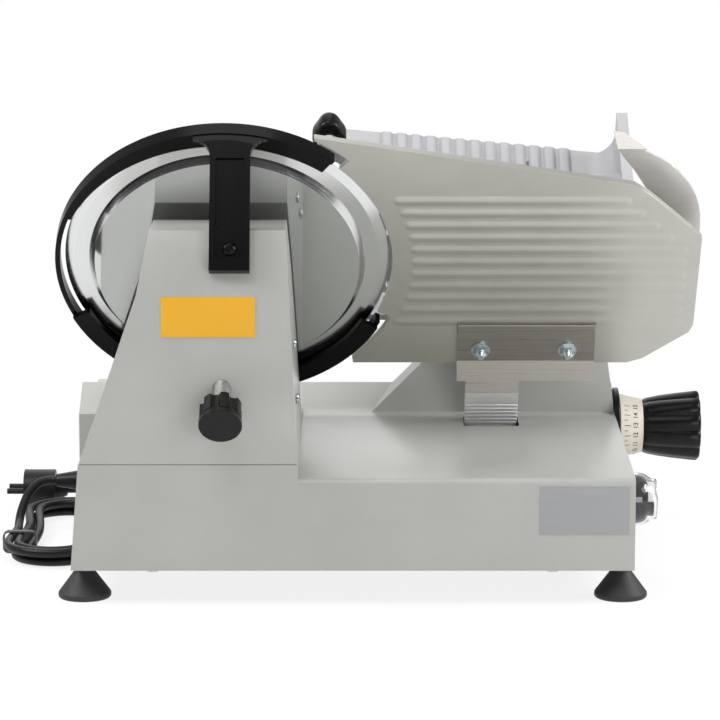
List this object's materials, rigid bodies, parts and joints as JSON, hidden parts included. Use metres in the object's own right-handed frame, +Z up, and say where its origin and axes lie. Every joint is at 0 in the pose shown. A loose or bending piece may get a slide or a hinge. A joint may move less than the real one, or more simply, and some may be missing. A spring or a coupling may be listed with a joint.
{
  "type": "electric food slicer",
  "caption": "Gravity-feed food slicer with a leaning round blade, ring guard, ribbed gauge plate, thickness dial and a sliding food table with pusher",
  "frame": {"origin": "on the floor under the middle of the slicer, cord left out", "axes": "X along the cut towards the dial, Y from the slice side to the food side, Z up"},
  "size_m": [0.5715, 0.406, 0.3568],
  "materials": {
    "cast_grey": "grey enamel on cast aluminium, satin",
    "column_grey": "grey enamel on cast aluminium, satin",
    "plate_steel": "rolled steel",
    "zinc_steel": "zinc plated",
    "rubber_black": "moulded",
    "ring_black": "black enamel, gloss",
    "blade_steel": "ground and polished",
    "turned_steel": "turned",
    "cast_alloy": "cast, as machined",
    "motor_enamel": "dark enamel",
    "belt_rubber": "reinforced",
    "knob_black": "moulded",
    "gauge_alloy": "anodised",
    "stainless": "folded sheet",
    "bright_alloy": "extruded, ribbed",
    "cam_brass": "machined",
    "drum_ivory": "moulded and printed",
    "bezel_black": "moulded",
    "clear_cap": "clear moulded ring",
    "button_white": "moulded",
    "button_black": "moulded",
    "bush_bronze": "sintered bronze",
    "pad_white": "moulded",
    "table_alloy": "cast and polished",
    "guard_sheet": "folded sheet",
    "patch_yellow": "bare film",
    "plate_silver": "bare foil",
    "cord_black": "sheathed flex"
  },
  "bodies": {
    "base": {"base_casting": "cast_grey", "bottom_plate": "plate_steel", "bottom_plate_screws": "zinc_steel", "feet": "rubber_black", "column_cover": "column_grey", "column_cover_screws": "zinc_steel", "ring_guard": "ring_black", "ring_guard_screw": "ring_black", "drive_frame": "cast_alloy", "bearing_housing": "cast_alloy", "bearings": "turned_steel", "blade_cover": "table_alloy", "motor_body": "motor_enamel", "drive_belt": "belt_rubber", "tie_rod_sleeve": "turned_steel", "gauge_guide_rod": "turned_steel", "dial_collar": "knob_black", "switch_bezel": "bezel_black", "switch_ring": "clear_cap", "carriage_rod": "turned_steel", "carriage_track": "plate_steel", "yellow_decal": "patch_yellow", "rating_plate": "plate_silver", "cord_gland": "cord_black", "cord_run": "cord_black", "cord_hank": "cord_black", "cord_tie": "knob_black", "cord_tail": "cord_black", "plug": "cord_black"},
    "blade": {"blade": "blade_steel", "blade_screws": "zinc_steel", "blade_hub": "turned_steel"},
    "motor": {"motor_rotor": "turned_steel"},
    "tie": {"tie_rod": "turned_steel", "tie_rod_knob": "knob_black"},
    "dial": {"dial_shaft": "turned_steel", "dial_cam": "cam_brass", "dial_drum": "drum_ivory", "dial_knob": "knob_black"},
    "gauge": {"gauge_plate": "gauge_alloy", "gauge_bracket": "stainless", "gauge_bolts": "zinc_steel", "gauge_nuts": "zinc_steel", "gauge_post": "bright_alloy", "gauge_carrier": "cast_alloy"},
    "start": {"start_button": "button_white"},
    "stop": {"stop_button": "button_black"},
    "carriage": {"carriage_slider": "cast_alloy", "carriage_bushes": "bush_bronze", "glide_pad": "pad_white", "carriage_arm": "cast_grey", "food_table": "table_alloy", "hand_guard": "guard_sheet", "carriage_grip": "knob_black", "pusher_rod": "turned_steel"},
    "table_lock": {"table_lock_knob": "knob_black"},
    "pusher_sleeve": {"pusher_slider": "turned_steel"},
    "pusher": {"pusher_arm": "plate_steel", "pusher_plate": "table_alloy", "pusher_knob": "knob_black"}
  },
  "joints": [
    {"name": "blade_spin", "type": "hinge", "parent": "base", "child": "blade", "pos_m": [-0.1225, -0.03746, 0.244], "axis": [0, 0.8387, 0.5446], "continuous": true},
    {"name": "motor_spin", "type": "hinge", "parent": "base", "child": "motor", "pos_m": [-0.1225, 0.01419, 0.16447], "axis": [0, 0.8387, 0.5446], "continuous": true},
    {"name": "tie_turn", "type": "hinge", "parent": "base", "child": "tie", "pos_m": [-0.1225, -0.03746, 0.244], "axis": [0, 0.8387, 0.5446], "range_deg": [0, 360]},
    {"name": "dial_turn", "type": "hinge", "parent": "base", "child": "dial", "pos_m": [0.1855, 0.07554, 0.09], "axis": [1, 0, 0], "range_deg": [0, 300]},
    {"name": "gauge_slide", "type": "slide", "parent": "base", "child": "gauge", "axis": [0, -0.8387, -0.5446], "range_m": [0, 0.015]},
    {"name": "start_press", "type": "slide", "parent": "base", "child": "start", "axis": [-1, 0, 0], "range_m": [0, 0.003], "stiffness_N_per_m": 800},
    {"name": "stop_press", "type": "slide", "parent": "base", "child": "stop", "axis": [-1, 0, 0], "range_m": [0, 0.003], "stiffness_N_per_m": 800},
    {"name": "carriage_slide", "type": "slide", "parent": "base", "child": "carriage", "axis": [-1, 0, 0], "range_m": [0, 0.24]},
    {"name": "lock_turn", "type": "hinge", "parent": "carriage", "child": "table_lock", "pos_m": [0.0995, 0.13354, 0.152], "axis": [0, 1, 0], "range_deg": [0, 360]},
    {"name": "pusher_slide", "type": "slide", "parent": "carriage", "child": "pusher_sleeve", "axis": [0, 0.8387, 0.5446], "range_m": [0, 0.0895]},
    {"name": "pusher_swing", "type": "hinge", "parent": "pusher_sleeve", "child": "pusher", "pos_m": [0.1775, 0.01641, 0.22532], "axis": [0, 0.8387, 0.5446], "range_deg": [0, 54]}
  ],
  "couplings": [
    {"joint": "motor_spin", "follows": "blade_spin", "ratio": 4.6667},
    {"joint": "dial_turn", "follows": "gauge_slide", "rad_per_m": 349.06}
  ]
}
